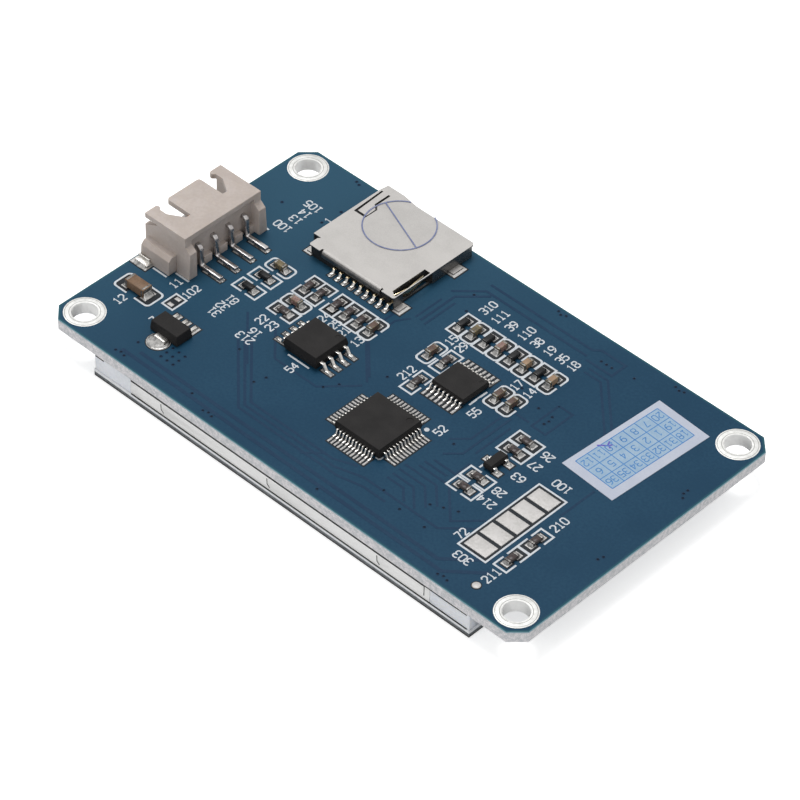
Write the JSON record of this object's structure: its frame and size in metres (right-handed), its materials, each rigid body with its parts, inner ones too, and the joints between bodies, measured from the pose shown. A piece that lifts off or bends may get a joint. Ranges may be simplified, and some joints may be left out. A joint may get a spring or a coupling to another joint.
{
  "type": "tft display module",
  "caption": "Touch display module: a thin colour display panel bonded face down under a blue component board with a wire connector and a memory card socket.",
  "frame": {"origin": "under the middle of the circuit board, on the outer face of the touch film", "axes": "+X along the board from the wire connector to the service pads, +Y towards the mouth of the card socket, +Z from the touch film up to the component side"},
  "size_m": [0.0744, 0.0428, 0.0107],
  "materials": {
    "touch_film": "glossy dark film with a black printed rim",
    "touch_glass": "thin polished glass, grey edge",
    "flex_circuit": "amber polyimide ribbon",
    "gasket_foam": "soft white foam tape",
    "polariser": "dark grey polariser film",
    "cell_glass": "thin polished glass plate",
    "driver_silicon": "bare dark silicon chip",
    "white_plastic": "moulded white plastic, faintly bluish",
    "diffuser": "white diffuser sheets",
    "light_guide": "clear acrylic plate",
    "led": "white LED housings with yellow phosphor",
    "reflector": "silvery reflector sheet",
    "tray_steel": "thin bright stamped steel",
    "black_tape": "black double-sided tape",
    "board_blue": "dark blue solder mask on glass-fibre laminate",
    "plating": "tinned copper rings",
    "solder": "tinned pads with bright solder",
    "white_ink": "white screen-printed ink",
    "ivory_nylon": "ivory nylon moulding",
    "tinned_pin": "tinned pins",
    "tinned_tab": "tinned solder tabs",
    "black_resin": "black moulded socket base",
    "shell_steel": "satin nickel-plated sheet",
    "gold_contact": "gold-flashed spring contacts",
    "chip_epoxy": "dark grey moulding compound",
    "lead_metal": "tinned copper leads",
    "bulk_ceramic": "brown ceramic with tinned ends",
    "capacitor_ceramic": "tan ceramic with tinned ends",
    "resistor_black": "black glazed film with tinned ends",
    "diode_black": "black moulded diode with tinned ends",
    "label_paper": "pale lavender paper label",
    "seal_paper": "thin round paper seal"
  },
  "bodies": {
    "root": {"touch_film": "touch_film", "touch_glass": "touch_glass", "touch_tail": "flex_circuit", "panel_gasket": "gasket_foam", "front_polariser": "polariser", "cell_front_glass": "cell_glass", "cell_rear_glass": "cell_glass", "rear_polariser": "polariser", "driver_chip": "driver_silicon", "display_ribbon": "flex_circuit", "light_frame": "white_plastic", "diffuser_sheets": "diffuser", "light_guide": "light_guide", "backlight_leds": "led", "reflector_sheet": "reflector", "steel_tray": "tray_steel", "mounting_tape": "black_tape", "circuit_board": "board_blue", "hole_plating": "plating", "solder_pads": "solder", "printed_outlines": "white_ink", "wire_housing": "ivory_nylon", "wire_pins": "tinned_pin", "wire_solder_tabs": "tinned_tab", "socket_base": "black_resin", "socket_shell": "shell_steel", "card_contacts": "gold_contact", "card_switch": "gold_contact", "controller_body": "chip_epoxy", "controller_leads": "lead_metal", "buffer_body": "chip_epoxy", "buffer_leads": "lead_metal", "memory_body": "chip_epoxy", "memory_leads": "lead_metal", "regulator_body": "chip_epoxy", "regulator_leads": "lead_metal", "transistor_body": "chip_epoxy", "transistor_leads": "lead_metal", "bulk_capacitor": "bulk_ceramic", "diodes": "diode_black", "date_label": "label_paper", "inspection_seal": "seal_paper", "capacitor_1": "capacitor_ceramic", "capacitor_2": "capacitor_ceramic", "capacitor_3": "capacitor_ceramic", "capacitor_4": "capacitor_ceramic", "capacitor_5": "capacitor_ceramic", "capacitor_6": "capacitor_ceramic", "capacitor_7": "capacitor_ceramic", "capacitor_8": "capacitor_ceramic", "capacitor_9": "capacitor_ceramic", "capacitor_10": "capacitor_ceramic", "resistors_1": "resistor_black", "resistors_2": "resistor_black", "resistors_3": "resistor_black", "resistors_4": "resistor_black", "resistors_5": "resistor_black", "resistors_6": "resistor_black", "resistors_7": "resistor_black", "resistors_8": "resistor_black"}
  },
  "joints": []
}
